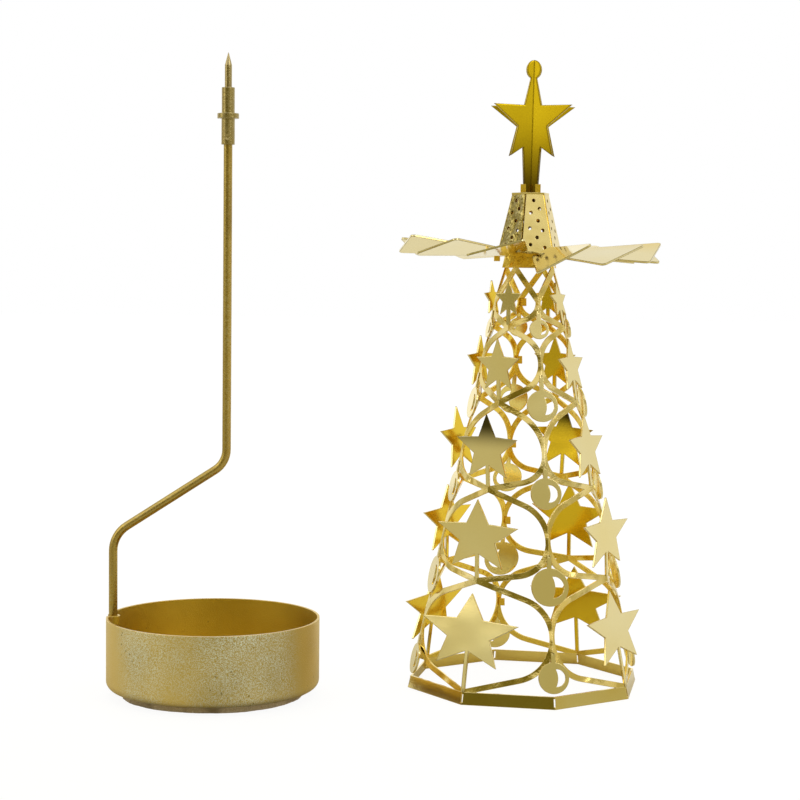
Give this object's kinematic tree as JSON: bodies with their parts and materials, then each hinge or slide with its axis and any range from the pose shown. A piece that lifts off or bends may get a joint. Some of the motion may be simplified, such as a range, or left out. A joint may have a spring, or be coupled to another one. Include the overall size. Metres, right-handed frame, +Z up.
{
  "type": "rotary candle carousel",
  "caption": "Tealight cup with a bent rod that ends in a needle, and a folded star-lace tree with an impeller that turns on it.",
  "frame": {"origin": "centre of the cup's foot, on the table", "axes": "+Z up, along the rod's upper leg and the tree's axis; -Y towards the viewer of the picture; +X towards the tree, which stands beside the stand"},
  "size_m": [0.1117, 0.0602, 0.1286],
  "materials": {
    "cup_brass": "satin",
    "foot_pad": "felt",
    "rod_brass": "satin",
    "ferrule_brass": "satin",
    "needle_brass": "satin",
    "lace_gilt": "mirror plated",
    "ornament_gilt": "mirror plated",
    "impeller_gilt": "mirror plated",
    "tower_gilt": "mirror plated",
    "finial_gilt": "mirror plated",
    "pivot_brass": "turned"
  },
  "bodies": {
    "stand": {"candle_cup": "cup_brass", "foot_pad": "foot_pad"},
    "rod": {"support_rod": "rod_brass", "needle_ferrule": "ferrule_brass", "needle": "needle_brass"},
    "tree": {"base_band": "lace_gilt", "top_ring": "lace_gilt", "lace_side_1": "lace_gilt", "lace_side_2": "lace_gilt", "lace_side_3": "lace_gilt", "lace_side_4": "lace_gilt", "lace_side_5": "lace_gilt", "lace_side_6": "lace_gilt", "lace_side_7": "lace_gilt", "lace_side_8": "lace_gilt", "stars_tier_1": "ornament_gilt", "stars_tier_2": "ornament_gilt", "stars_tier_3": "ornament_gilt", "stars_tier_4": "ornament_gilt", "stars_tier_5": "ornament_gilt", "baubles_tier_1": "ornament_gilt", "baubles_tier_2": "ornament_gilt", "baubles_tier_3": "ornament_gilt", "baubles_tier_4": "ornament_gilt", "baubles_tier_5": "ornament_gilt", "seam_tabs": "lace_gilt", "impeller": "impeller_gilt", "hub_tab": "impeller_gilt", "tower_top_plate": "tower_gilt", "tower_flap_1": "tower_gilt", "tower_flap_2": "tower_gilt", "tower_flap_3": "tower_gilt", "tower_flap_4": "tower_gilt", "tower_flap_5": "tower_gilt", "tower_flap_6": "tower_gilt", "pivot_cup": "pivot_brass", "finial_front": "finial_gilt", "finial_rear": "finial_gilt", "finial_tabs": "finial_gilt"}
  },
  "joints": [
    {"name": "tree_spin", "type": "hinge", "parent": "stand", "child": "tree", "pos_m": [0.0634, 0.0121, 0], "axis": [0, 0, 1], "continuous": true},
    {"name": "rod_pull", "type": "slide", "parent": "stand", "child": "rod", "axis": [0, 0, 1], "range_m": [0, 0.012]}
  ]
}
